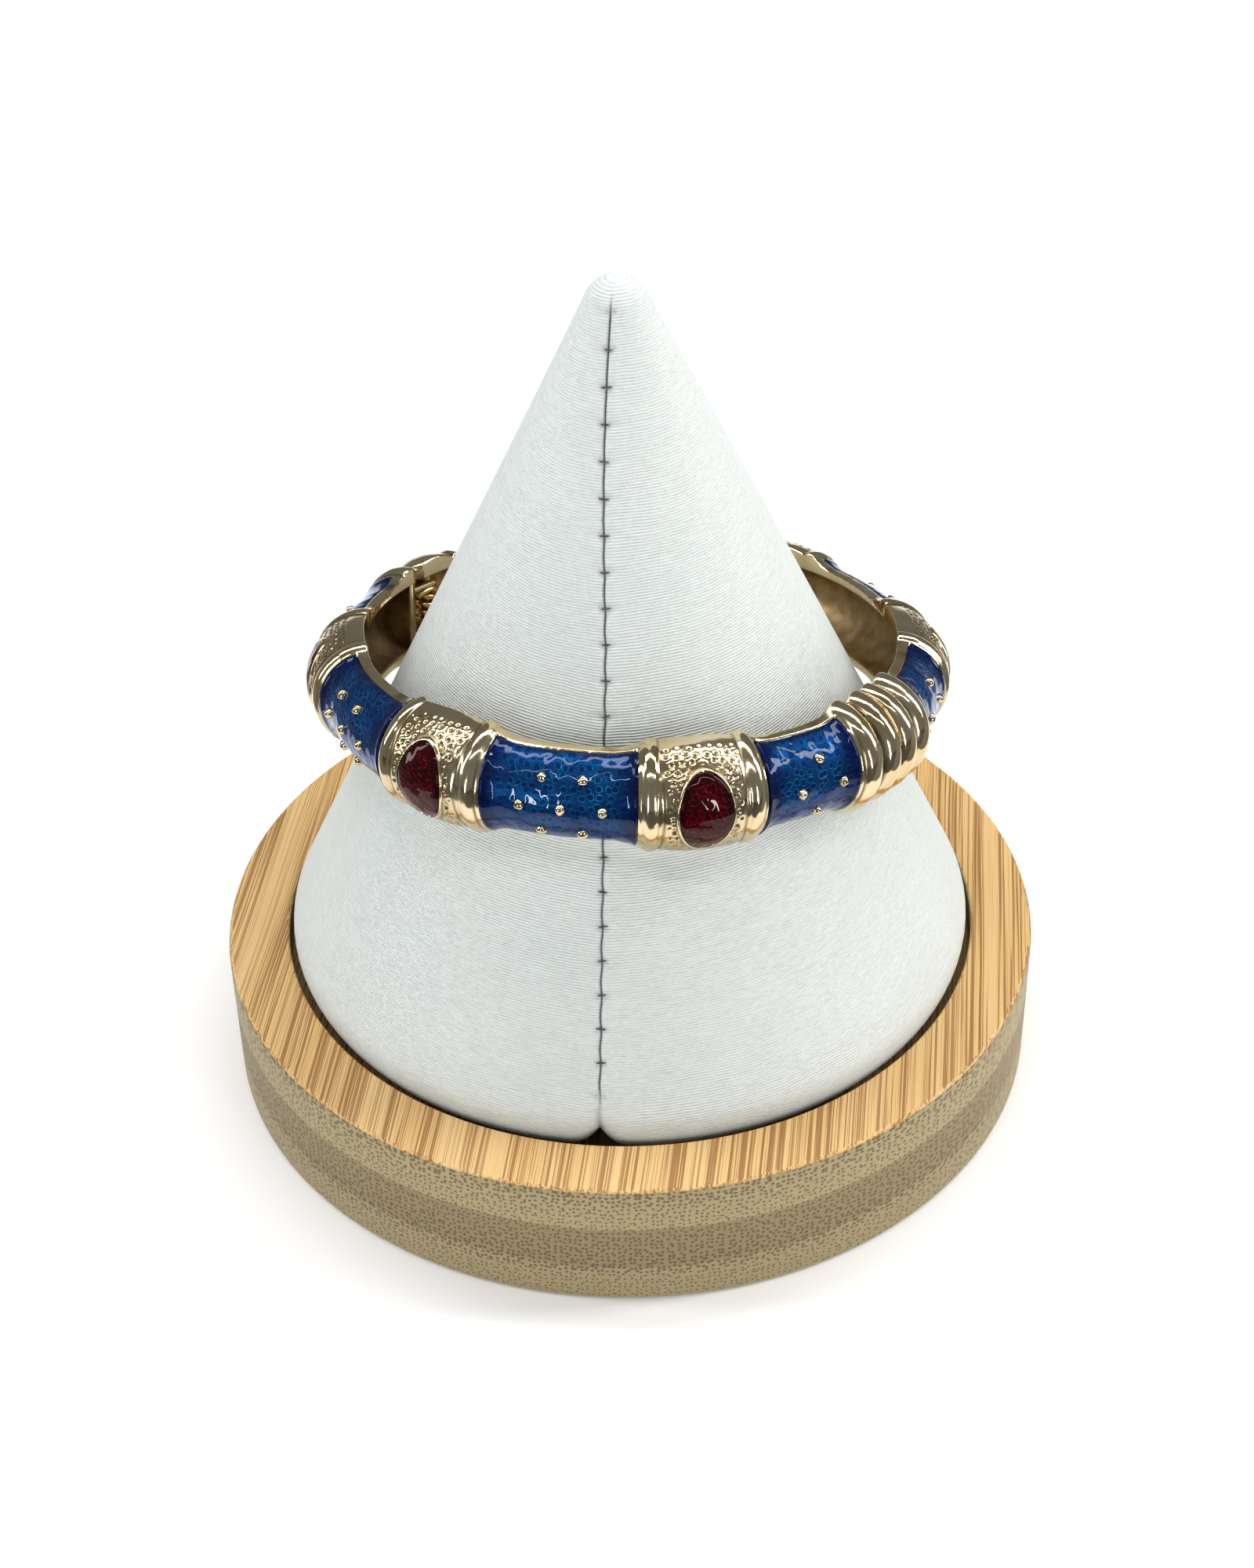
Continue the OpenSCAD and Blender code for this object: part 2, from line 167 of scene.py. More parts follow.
# Mesh helpers
class Build:
    """Collects grids and islands, with named values per point, into one mesh."""

    def __init__(self):
        self.points, self.faces, self.values, self.count = [], [], {}, 0

    def add(self, points, faces, **values):
        """Adds points with their faces; a value that isn't given is 0."""
        points = np.asarray(points, float).reshape(-1, 3)
        self.points.append(points)
        self.faces += [tuple(int(i) + self.count for i in f) for f in faces]
        for name in {**self.values, **values}:
            width = 3 if name == "flat" else 1
            if name not in self.values:
                self.values[name] = [np.zeros((self.count, width))]
            v = np.asarray(values.get(name, 0), float)
            v = v.reshape(-1, width) if v.ndim else np.full((len(points), width), float(v))
            self.values[name].append(v)
        self.count += len(points)

    def grid(self, points, closed=False, **values):
        """Quads between rows of points that close on themselves; closed gives the end rows a face each."""
        n, m = points.shape[:2]
        i, j = np.meshgrid(np.arange(n - 1), np.arange(m), indexing="ij")
        a, b = i * m + j, i * m + (j + 1) % m
        faces = np.stack([a, b, b + m, a + m], -1).reshape(-1, 4).tolist()
        if closed:
            faces += [range(m)[::-1], range((n - 1) * m, n * m)]
        self.add(points, faces, **values)

    def piece(self, name, material, body, replaces=()):
        mesh = bpy.data.meshes.new(name)
        mesh.from_pydata(np.concatenate(self.points).tolist(), [], self.faces)
        mesh.validate()
        outward = bmesh.new()
        outward.from_mesh(mesh)
        bmesh.ops.recalc_face_normals(outward, faces=outward.faces)
        outward.to_mesh(mesh)
        outward.free()
        for key, parts in self.values.items():
            data = np.concatenate(parts)
            kind = "FLOAT_VECTOR" if key == "flat" else "FLOAT"
            field = mesh.attributes.new(key, kind, "POINT")
            field.data.foreach_set("vector" if key == "flat" else "value", data.ravel())
        mesh.shade_smooth()
        mesh.materials.append(material)
        obj = bpy.data.objects.new(name, mesh)
        bpy.context.collection.objects.link(obj)
        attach(obj, body)
        if replaces:
            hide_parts(*replaces)


def tube(path, radius, sides=12):
    """Rings of points of a round wire along a path."""
    ahead = np.gradient(path, axis=0)
    ahead /= np.linalg.norm(ahead, axis=1)[:, None]
    side = np.cross(ahead, [0, 0, 1.0])
    side[np.linalg.norm(side, axis=1) < 1e-3] = [1, 0, 0]
    side /= np.linalg.norm(side, axis=1)[:, None]
    over = np.cross(side, ahead)
    t = np.arange(sides)[:, None] * 2 * math.pi / sides
    radius = np.broadcast_to(radius, len(path))[:, None, None]
    return path[:, None] + radius * (np.cos(t) * side[:, None] + np.sin(t) * over[:, None])


# The ring's outer surface
ROUND_TOPS = {"bead": (BEAD_TOP, BEAD_ROUND), "end": (END_TOP, END_ROUND), "knuckle": (KNUCKLE, KNUCKLE),
              "ribs": (RIB_TOP, RIB_ROUND)}


def top_of(kind, x):
    """Radius of a feature's surface at x along its own axis, or 0 past its end."""
    x = np.abs(x)
    if kind == "cushion":
        return np.where(x < CUSHION_HALF + 0.3, CUSHION_TOP - CUSHION_DROP * (x / CUSHION_HALF) ** 2, 0)
    if kind == "ribs":
        x = np.abs(x - OUTER * math.sin(math.radians(RIB_STEP / 2)))
    top, half = ROUND_TOPS[kind]
    return np.where(x < half, top - half + np.sqrt(np.maximum(half ** 2 - x * x, 0)), 0)


def crater_centres(seed):
    """Centres of the little ring marks on one cushion, as a jittered hexagonal grid in mm."""
    rng = np.random.default_rng(seed)
    pitch = 1.06
    spots = [((i + j % 2 / 2) * pitch, j * pitch * 0.87) for i in range(-5, 6) for j in range(-9, 10)]
    return np.array(spots) + rng.uniform(-0.2, 0.2, (len(spots), 2))


def pebbled(found, x, rho, phi, at):
    """A cushion's surface with its ring marks, its oval's bed and its grooves, and the painted shade of each:
    dark in the pits, between the rings, in the grooves and round the oval.
    """
    oval = np.hypot(x / (OVAL_W + BEZEL), rho * np.sin(phi) / (OVAL_H + BEZEL))
    keep = smooth(oval, 1.06, 1.16) * smooth(np.abs(x), CUSHION_HALF - 0.75, CUSHION_HALF - 1.25)
    keep *= smooth(np.abs(np.degrees(phi)), 74, 64)
    spots = crater_centres(int(at) + 200)
    gap = np.hypot(x[..., None] - spots[:, 0], phi[..., None] * CUSHION_TOP - spots[:, 1]).min(axis=-1)
    ring, pit = bell(gap - 0.35, 0.12), bell(gap, 0.22)
    edge = bell(np.abs(x) - (CUSHION_HALF - 0.45), 0.16)
    rim = bell(oval - 1.07, 0.03)
    relief = found + keep * (0.08 * ring - 0.17 * pit - 0.05)
    relief = np.where(oval < 0.96, CUSHION_TOP - 0.5, relief) - 0.10 * edge
    # Painted shade: dark in the pits, on the ground between the ring marks, in the grooves by the beads and
    # round the oval
    shade = keep * np.clip(pit + 0.6 * smooth(gap, 0.47, 0.6), 0, 1)
    shade = np.maximum(shade, np.maximum(0.7 * edge, 0.8 * rim))
    return np.where(found > 0, relief, 0), shade


def flare(theta):
    """How far a panel swells towards the beads at its ends, in mm."""
    out = np.zeros_like(theta)
    for a, b, _, _ in PANELS:
        inside = (theta > a - 1.5) & (theta < b + 1.5)
        for edge in (a, b):
            gone = np.clip(np.abs(theta - edge) * PER_DEG / FLARE_LONG, 0, 1)
            out = np.where(inside, np.maximum(out, FLARE * (1 - gone) ** 2), out)
    return out


def back_end(h):
    """Where the back half's knuckle ends, as far past the pin as t, at a height h outside the pin."""
    bevel = REACH + h * math.tan(BEVEL)
    lean = (REACH - h * math.sin(OPEN)) / math.cos(OPEN)
    round_part = np.sqrt(np.maximum(REACH ** 2 - h * h, 0))
    return np.where(h < 0, bevel, np.where(h < REACH * math.sin(OPEN), round_part, lean))


def place(row_deg, rho, phi, side):
    """Angle round the ring of each point of a row, with the end faces as in the CAD."""
    r = INNER + rho * np.cos(phi)
    row = np.radians(np.broadcast_to(row_deg, r.shape))
    hinge, seam = math.radians(SIDE_HINGE[side]), math.radians(SEAM)
    if side > 0:
        past = OUTER * np.sin(np.clip(row - hinge, 0, 1))
        face = hinge + np.arcsin(np.minimum(past, FARTHEST) / r)
        angle = row + smooth(past, FRONT_EASE, FACE_OUT) * (face - row)
    else:
        past = OUTER * np.sin(np.clip(row - hinge, -1, 1))
        moved = np.clip((past - BACK_TURNED) / (REACH - BACK_TURNED), 0, 1)
        angle = row
        for _ in range(3):
            end = back_end(r * np.cos(angle - hinge) - PIN_AT)
            t = past + (end - REACH) * moved
            face = hinge + np.arcsin(np.clip(t, -FARTHEST, FARTHEST) / r)
            angle = row + smooth(past, BACK_EASE, BACK_TURNED) * (face - row)
    before = OUTER * np.sin(np.clip(side * (seam - row), 0, 1))
    flat = GAP_HALF + before * (SEAM_EASE - GAP_HALF) / SEAM_EASE
    return np.where(before < SEAM_EASE, seam - side * np.arcsin(flat / r), angle)


def outer(rows, phi, side):
    """The skin on a grid of rows and section angles: radius, angle round the ring, section angle and the
    shade painted into its hollows and creases.
    """
    row_deg, phi = np.meshgrid(rows, phi, indexing="ij")
    panel = np.zeros_like(row_deg, bool)
    for a, b, _, _ in PANELS:
        panel |= (row_deg > a + 0.4) & (row_deg < b - 0.4)
    pocket = panel & (np.abs(phi) < math.radians(LIP_DEG))
    best = np.where(pocket, FLOOR - 0.05, PANEL) + flare(row_deg)
    cavity = np.zeros_like(best)
    hinge_end = ("end", HINGE + END_DEG) if side > 0 else ("knuckle", SIDE_HINGE[side])
    features = [hinge_end, ("ribs", SEAM - side * RIB_STEP)]
    for at in SIDE_OVALS[side]:
        features.append(("bead", at - HALF_RAISED + BEAD_MID))
        features.append(("bead", at + HALF_RAISED - BEAD_MID))
        features.append(("cushion", at))
    for kind, at in features:
        use = np.abs(rows - at) < (13 if kind in ("cushion", "knuckle") else 9)
        rd, ph = row_deg[use], phi[use]
        rho = np.full(rd.shape, 5.5)
        for _ in range(14):
            delta = place(rd, rho, ph, side) - math.radians(at)
            r = INNER + rho * np.cos(ph)
            x = r * np.sin(delta)
            own = np.hypot(r * np.cos(delta) - INNER, rho * np.sin(ph))
            goal = top_of(kind, x)
            rho = np.where(goal > 0, rho + 0.8 * (goal - own), rho)
        found = np.where(goal > 0, rho, 0)
        if kind == "cushion":
            found, shade = pebbled(found, x, rho, ph, at)
            cavity[use] = np.where(found >= best[use], shade, cavity[use])
        else:
            # Where this bead, rib or end rises above the rest, most of the painted shade under it is taken
            # away
            cavity[use] *= np.where(found < best[use], 1, 0.2)
        best[use] = np.maximum(best[use], found)
    # Painted shade also goes into every crease where the skin bends inwards
    second = np.gradient(np.gradient(best, axis=0), axis=0)
    cavity = np.clip(np.maximum(cavity, smooth(second, 0.012, 0.06) * 0.9), 0, 1)
    return best, place(row_deg, best, phi, side), phi, np.where(pocket, 0, cavity)


def row_angles(side):
    """Angles of the mesh rows: close together on the raised sections, further apart on the panels."""
    hinge = SIDE_HINGE[side]
    past = hinge + math.degrees(math.asin((FACE_OUT if side > 0 else REACH) / OUTER))
    at, last = (past, SEAM) if side > 0 else (SEAM, past)
    out = [at]
    while at < last:
        raised = min(abs(at - o) for o in SIDE_OVALS[side])
        if abs(at - hinge) < 12.5:
            step = 0.24
        elif abs(at - SEAM) < RIBS + 0.4:
            step = 0.2
        elif raised < 8.2:
            step = 0.15
        elif raised < HALF_RAISED + 0.3:
            step = 0.19
        elif raised < HALF_RAISED + 4 or abs(at - SEAM) < RIBS + 4:
            step = 0.42
        else:
            step = 0.85
        at += step / PER_DEG
        out.append(min(at, last))
    if out[-1] - out[-2] < 0.1:
        out.pop(-2)
    return np.array(out)


# The half rings
def lip(edge, height):
    """Columns from the skin's edge over a rounded corner to the hollow: x and z."""
    turn, one = np.radians([60, 30, 0]), np.ones((len(edge), 1))
    x = np.concatenate([edge[:, None] * (1 - np.cos(turn)), 0 * one, 0.03 * one], 1)
    z = height[:, None] - CORNER * (1 - np.sin(turn))
    return x, np.concatenate([z, (HOLLOW + 0.25) * one, (HOLLOW + 0.06) * one], 1)


def hollow(rows, side):
    """Columns of the hollow, with the knuckle's room for the coil and the lugs: x and z."""
    past = OUTER * np.sin(np.radians(np.clip(rows - SIDE_HINGE[side], -60, 60)))[:, None]
    lift = np.maximum(past - ROOM_FROM, 0) * math.tan(OPEN)
    phi = np.radians(np.linspace(88, -88, BORE))
    room = (PIN_AT + ROOM + lift - INNER) / np.cos(phi)
    room = np.minimum(room, ROOM_HALF / np.maximum(np.abs(np.sin(phi)), 1e-6))
    radius = np.where((side < 0) & (past > -ROOM), np.maximum(HOLLOW, room), HOLLOW)
    return radius * np.cos(phi), radius * np.sin(phi)


def end_faces(start, columns, flip):
    """Closes the U-shaped end of a half ring, with four steps of the skin to each of the hollow."""
    loops = [[*range(4 * k, 4 * k + 5), BORE_LAST - k - 1, BORE_LAST - k] for k in range(BORE - 1)]
    loops.append([*range(BORE_FIRST, SKIN - 2, -1)])
    loops.append([0, *range(columns - 1, BORE_LAST - 1, -1)])
    return [tuple(start + i for i in (loop[::-1] if flip else loop)) for loop in loops]


def ball_mesh(rings=9, sides=16):
    """Points and faces of a ball of radius 1 with a point at each pole."""
    points = [(0, 0, 1)]
    for i in range(1, rings):
        t = math.pi * i / rings
        for k in range(sides):
            u = 2 * math.pi * k / sides
            points.append((math.sin(t) * math.cos(u), math.sin(t) * math.sin(u), math.cos(t)))
    points.append((0, 0, -1))
    last = len(points) - 1
    faces = []
    for k in range(sides):
        n = (k + 1) % sides
        faces.append((0, 1 + k, 1 + n))
        faces.append((last, last - sides + n, last - sides + k))
        for upper in range(1, last - sides, sides):
            faces.append((upper + k, upper + sides + k, upper + sides + n, upper + n))
    return np.array(points, float), faces


def balls(build, side):
    """The small balls on the panels of one half, each a little uneven."""
    rng = np.random.default_rng(7 if side > 0 else 8)
    unit, faces = ball_mesh()
    for a, b, shift, count in SIDE_PANELS[side]:
        for row in (-1, 0, 1):
            k = count - abs(row)
            lift = math.radians(row * BALL_ROW)
            for i in range(k):
                at = (a + b) / 2 + shift + (i - (k - 1) / 2) * BALL_STEP[count]
                shape = unit * BALL_R * rng.uniform(0.93, 1.07, 3)
                shape = shape + 0.035 * np.sin(unit[:, [1, 2, 0]] * rng.uniform(3, 5) + rng.uniform(0, 6, 3))
                x, y, z = shape.T
                pts = turned(x, y - INNER - BALL_SIT * math.cos(lift), z + BALL_SIT * math.sin(lift), at)
                build.add(to_frame(pts), faces)


def bezel(build, at):
    """Fine rim round one oval."""
    t = np.linspace(0, 2 * math.pi, 73)[:, None]
    k = np.arange(8) * 2 * math.pi / 8
    wide, high = OVAL_W + BEZEL, OVAL_H + BEZEL
    out = BEZEL_WIDE * np.cos(k) / np.hypot(high * np.cos(t), wide * np.sin(t))
    x = (wide + out * high) * np.cos(t)
    z = (high + out * wide) * np.sin(t)
    top = top_of("cushion", wide * np.cos(t)) + 0.02 + BEZEL_HIGH * np.sin(k)
    build.grid(to_frame(turned(x, -INNER - np.sqrt(top ** 2 - z ** 2), z, at)))


def front_end(build):
    """The wall that closes the front half at the hinge, and its pair of lugs."""
    phi = np.radians(np.linspace(90, -90, BORE))
    x, z = (HOLLOW + 0.1) * np.cos(phi) + 0.02, (HOLLOW + 0.1) * np.sin(phi)
    wall = []
    for t in (FACE_OUT, FACE_OUT + END_WALL):
        wall.append(around(INNER + x, math.radians(HINGE) + np.arcsin(t / (INNER + x)), z))
    build.grid(to_frame(np.array(wall)), closed=True, inside=1.0)
    arc = np.radians(np.linspace(0, -270, 28))
    bend = LUG_R * np.stack([np.cos(arc), np.sin(arc)], -1)
    outline = np.concatenate([[[LUG_LONG, 0.0]], bend, [[LUG_LONG, LUG_R]]])
    for up in (-1, 1):
        layers = []
        for size, height in LUG_LAYERS:
            x, y = (LUG_MIDDLE + (outline - LUG_MIDDLE) * size).T
            layers.append(turned(x, y - PIN_AT, up * height, HINGE))
        build.grid(to_frame(np.array(layers)), closed=True, inside=0.5)


def shell(name, side, body, node, material):
    """One half of the gilt ring: skin, rounded lips, hollow, end faces, balls and bezels."""
    rows = row_angles(side)
    limit = math.radians(SKIN_DEG)
    rho, angle, phi, cavity = outer(rows, np.linspace(-limit, limit, SKIN), side)
    x, z = rho * np.cos(phi), rho * np.sin(phi)
    upper_x, upper_z = lip(x[:, -1], z[:, -1])
    lower_x, lower_z = lip(x[:, -1], -z[:, 0])
    bore_x, bore_z = hollow(rows, side)
    x = np.concatenate([x, upper_x, bore_x, lower_x[:, ::-1]], 1)
    z = np.concatenate([z, upper_z, bore_z, -lower_z[:, ::-1]], 1)
    angles = place(rows[:, None], np.hypot(x, z), np.arctan2(z, x), side)
    angles[:, :SKIN] = angle
    marks, inside = np.zeros_like(x), np.zeros_like(x)
    # Painted shade of the hollows, pits and creases, on the skin only
    marks[:, :SKIN] = cavity
    inside[:, BORE_FIRST - 1:BORE_LAST + 2] = 1
    build = Build()
    build.grid(to_frame(around(INNER + x, angles, z)), cavity=marks, inside=inside)
    n, m = x.shape
    build.faces += end_faces(0, m, False) + end_faces((n - 1) * m, m, True)
    balls(build, side)
    for at in SIDE_OVALS[side]:
        bezel(build, at)
    if side > 0:
        front_end(build)
    build.piece(name, material, body, (node,))


# Enamel
def doubled(values):
    """A grid's values, and then the same backwards, for the face and the underside of a panel."""
    return np.concatenate([values, values[:, ::-1]], 1)


def blue_panel(index, material):
    """One blue panel: a strip that fills its pocket, a little raised and darker at its ends, with painted
    shade along its lips.
    """
    a, b, _, _ = PANELS[index]
    inset, turn = 0.58, 6
    stops = (a + inset, a + turn, b - turn, b - inset)
    rows = np.unique(np.concatenate([np.linspace(stops[i], stops[i + 1], 14) for i in range(3)]))
    limit = math.radians(LIP_DEG - 0.4)
    deg, phi = np.meshgrid(rows, np.linspace(-limit, limit, 61), indexing="ij")
    ends = np.minimum(deg - a, b - deg)
    top = PANEL - 0.10 * smooth(np.abs(phi), limit - 0.1, limit) ** 2 + 0.10 * (1 - smooth(ends, 0.5, 1.6))
    rho = np.concatenate([top, np.full_like(top, FLOOR + 0.04)], 1) + doubled(flare(deg))
    # Darker towards the ends; the darkening along both lips is painted shade
    dark = np.maximum(1 - smooth(ends * PER_DEG, 0.3, 3.0), 0.7 * smooth(np.abs(phi), limit - 0.22, limit))
    flat = np.stack([deg * PER_DEG + 50 * index, phi * PANEL, 0 * deg], -1)
    deg, phi = doubled(deg), doubled(phi)
    pts = around(INNER + rho * np.cos(phi), np.radians(deg), rho * np.sin(phi))
    build = Build()
    build.grid(to_frame(pts), closed=True, flat=doubled(flat), dark=doubled(dark))
    name, node = "blue_panel_%d" % (index + 1), "blue_enamel_%d" % (index + 1)
    build.piece(name, material, FRONT if index < 4 else BACK, (node,))


def red_dome(index, material):
    """One red oval: a dome inside its rim, darker at its edge."""
    t = np.linspace(0, 2 * math.pi, 65)[:-1]
    rings = np.concatenate([[0.02], np.linspace(0.1, 0.9, 12), [0.95, 0.985, 1.0, 1.0]])[:, None]
    x = (OVAL_W - 0.01) * rings * np.cos(t)
    z = (OVAL_H - 0.01) * rings * np.sin(t)
    high = RED_EDGE + (RED_TOP - RED_EDGE) * np.sqrt(np.maximum(1 - rings ** 2.4, 0))
    high[-1] = RED_FOOT
    high = high - 0.4 * (x / CUSHION_HALF) ** 2
    pts = turned(x, -INNER - np.sqrt(high ** 2 - z ** 2), z, OVALS[index])
    flat = np.stack([x + 20 * index, z, 0 * x], -1)
    dark = np.broadcast_to(smooth(rings, 0.72, 1.0), x.shape)
    build = Build()
    build.grid(to_frame(pts), closed=True, flat=flat, dark=dark)
    name, node = "red_dome_%d" % (index + 1), "red_oval_%d" % (index + 1)
    build.piece(name, material, FRONT if index < 3 else BACK, (node,))


def spring(material):
    """Coil round the pin, with one short leg on each half."""
    coil_r, wire, turns, half = 1.03, 0.35, 4, 2.07
    t = np.linspace(0, turns * 2 * math.pi, turns * 24 + 1)
    coil = np.stack([coil_r * np.sin(t), coil_r * np.cos(t), -half + 2 * half * t / t[-1]], -1)
    foot = [[-1.3, coil_r - 0.05, -half], [-0.8, coil_r, -half], [-0.35, coil_r, -half]]
    leg = [[0.35, coil_r, half], [0.9, coil_r - 0.02, half - 0.05], [1.5, coil_r - 0.1, half - 0.15],
           [2.2, coil_r - 0.25, half - 0.35]]
    x, y, z = np.moveaxis(tube(np.concatenate([foot, coil, leg]), wire), -1, 0)
    build = Build()
    build.grid(to_frame(turned(x, y - PIN_AT, z, HINGE)), closed=True)
    build.piece("spring_coil", material, FRONT, ("hinge_spring",))


# Stand: the base, the cone in its recess, and the cover's seam
BASE_R, BASE_H, RECESS_R, RECESS_H = 46.246, 15.9, 39.296, 3.4
SLOPE, APEX, TIP_R, FOOT_R = math.radians(25.06), 100.67, 3.5, 4.4
FLOOR_Z = BASE_H - RECESS_H + 0.05
FOOT_Z = FLOOR_Z + FOOT_R
FOOT_X = ((APEX - FOOT_Z) * math.sin(SLOPE) - FOOT_R) / math.cos(SLOPE)
TIP_Z = APEX - TIP_R / math.sin(SLOPE)
STITCH, STITCH_FROM = 3.65, 6.0


def down(z):
    """Length down the cone's side from its sharp apex to a height."""
    return (APEX - z) / math.cos(SLOPE)


def seam_angle(r, z):
    """Angle of the cover's seam on the cone, bowed a little between its stitches, steady near the tip."""
    x = -0.62 - 0.0392 * (95 - z) + 0.06 * np.sin(2 * math.pi * down(z) / STITCH)
    angle = np.arcsin(np.clip(x / np.maximum(r, 1.2), -0.9, 0.9))
    keep = smooth(z, 96, 60)
    return angle * keep + math.asin(-0.2) * (1 - keep)


def round_part(x, z, radius, start, end, steps):
    """Rounded stretch of the cone's profile, between two angles: x, z and the direction of the surface."""
    a = np.radians(np.linspace(start, end, steps))
    return np.stack([x + radius * np.cos(a), z + radius * np.sin(a), np.cos(a), np.sin(a)], -1)


def cone_profile():
    """The cone's profile from the middle of its foot to its tip: x, z and the direction of the surface."""
    foot = round_part(FOOT_X, FOOT_Z, FOOT_R, -90, math.degrees(SLOPE), 22)
    tip = round_part(0, TIP_Z, TIP_R, math.degrees(SLOPE), 88, 14)
    line = foot[-1] + (tip[0] - foot[-1]) * np.linspace(0, 1, 251)[1:-1, None]
    under = [(0.5, FLOOR_Z, 0, -1), (FOOT_X * 0.5, FLOOR_Z, 0, -1)]
    return np.concatenate([under, foot, line, tip]).T[:, :, None]


def cone(material):
    """The cone's cover, with its pinched seam, a dimple at each stitch and the notch at the foot, and shade
    painted into each.
    """
    pr, pz, nr, nz = cone_profile()
    half = np.array([0.05, 0.12, 0.2, 0.3, 0.42, 0.58, 0.75, 0.95, 1.2, 1.5, 1.9, 2.4, 3.2])
    width = np.clip(pr, 0.5, 12) / 12
    arc = np.concatenate([-half[::-1], [0], half]) * width
    inner = seam_angle(pr, pz) + arc / np.maximum(pr, 0.5)
    rest = np.linspace(0, 1, 98)[1:-1]
    beyond = inner[:, -1:] + rest * (2 * math.pi + inner[:, :1] - inner[:, -1:])
    far = arc[:, -1:] + np.minimum(rest, 1 - rest) * (2 * math.pi * pr - 2 * arc[:, -1:])
    psi = np.concatenate([inner, beyond], 1)
    away = np.abs(np.concatenate([arc, far], 1))
    stitch = bell((down(pz) - STITCH_FROM) / STITCH % 1.0 - 0.5, 0.09)
    on_side = smooth(pz, 19, 22) * smooth(pz, 95.5, 93) * smooth(away, 3.2 * width, 1.6 * width)
    low = 1 - smooth(pz, 14.5, 21.5)
    at_foot = low * smooth(pr, 20, 34)
    depth = 0.32 * bell(away, 0.15, 1.6) + 0.10 * stitch * bell(away - 0.42, 0.28)
    depth = (depth - 0.08 * (1 - stitch) * bell(away - 0.95, 0.6)) * on_side
    depth = depth + at_foot * (0.3 + 1.5 * low) * bell(away, 0.22 + 1.15 * low, 1.4)
    # Painted shade: the seam's groove, the dimples beside the stitches and the notch at the foot are darkened
    dark = (bell(away, 0.10) + 0.4 * stitch * bell(away - 0.4, 0.25)) * on_side + at_foot * bell(away, 0.35)
    wave = 0.10 * np.sin(psi * 3 + pz * 0.05) * smooth(pz, 40, 90) * smooth(pz, 96, 92)
    pts = around(np.maximum(pr + (wave - depth) * nr, 0.02), psi, pz - depth * nz)
    flat = np.stack(np.broadcast_arrays(pr * np.sin(psi), down(pz), pr * np.cos(psi)), -1)
    build = Build()
    build.grid(pts * MM, closed=True, flat=flat, dark=np.clip(dark, 0, 1), away=away)
    build.piece("cone_cover", material, FRONT, ("display_cone",))


def stitches(material):
    """Short threads that cross the cover's seam."""
    build = Build()
    rng = np.random.default_rng(3)
    u = np.linspace(-1, 1, 9)
    for k in range(24):
        z = APEX - (STITCH_FROM + (k + 0.5) * STITCH) * math.cos(SLOPE)
        if not 22 <= z <= 93:
            continue
        r = (APEX - z) * math.tan(SLOPE)
        reach = 0.54 * min(1, r / 6) * rng.uniform(0.75, 1.15)
        tilt = rng.uniform(-0.08, 0.14)
        out = -0.02 - 0.12 * u * u
        heights = z + out * math.sin(SLOPE) + u * tilt
        path = around(r + out * math.cos(SLOPE), seam_angle(r, z) + u * reach / r, heights)
        build.grid(tube(path, 0.095 - 0.05 * u ** 2, 8) * MM, closed=True)
    build.piece("seam_stitches", material, FRONT)


def rounded(x, z, radius, start, end):
    """Rounded corner of the base's profile, between two angles in degrees."""
    a = np.radians(np.linspace(start, end, 7))
    return [*zip(x + radius * np.cos(a), z + radius * np.sin(a))]


def base(material):
    """The bamboo round, with small edge rounds and the recess for the cone."""
    floor_z = BASE_H - RECESS_H
    profile = [(0.01, 0), (BASE_R * 0.5, 0), *rounded(BASE_R - 0.5, 0.5, 0.5, -90, 0)]
    profile += [(BASE_R, 3), (BASE_R, 8), (BASE_R, 13), *rounded(BASE_R - 0.6, BASE_H - 0.6, 0.6, 0, 90)]
    profile += [(BASE_R - 3.4, BASE_H), *rounded(RECESS_R + 0.35, BASE_H - 0.35, 0.35, 90, 180)]
    profile += [(RECESS_R, BASE_H - 2), *rounded(RECESS_R - 0.3, floor_z + 0.3, 0.3, 0, -90)]
    profile += [(20, floor_z), (0.01, floor_z)]
    r, z = np.array(profile).T[:, :, None]
    build = Build()
    build.grid(around(r, np.arange(256) * 2 * math.pi / 256, z) * MM, closed=True)
    build.piece("bamboo_round", material, FRONT, ("bamboo_base",))


# Materials
def linear(*rgb):
    """Display colour to the linear value that a shader takes."""
    return tuple(c / 12.92 if c <= 0.04045 else ((c + 0.055) / 1.055) ** 2.4 for c in rgb) + (1.0,)


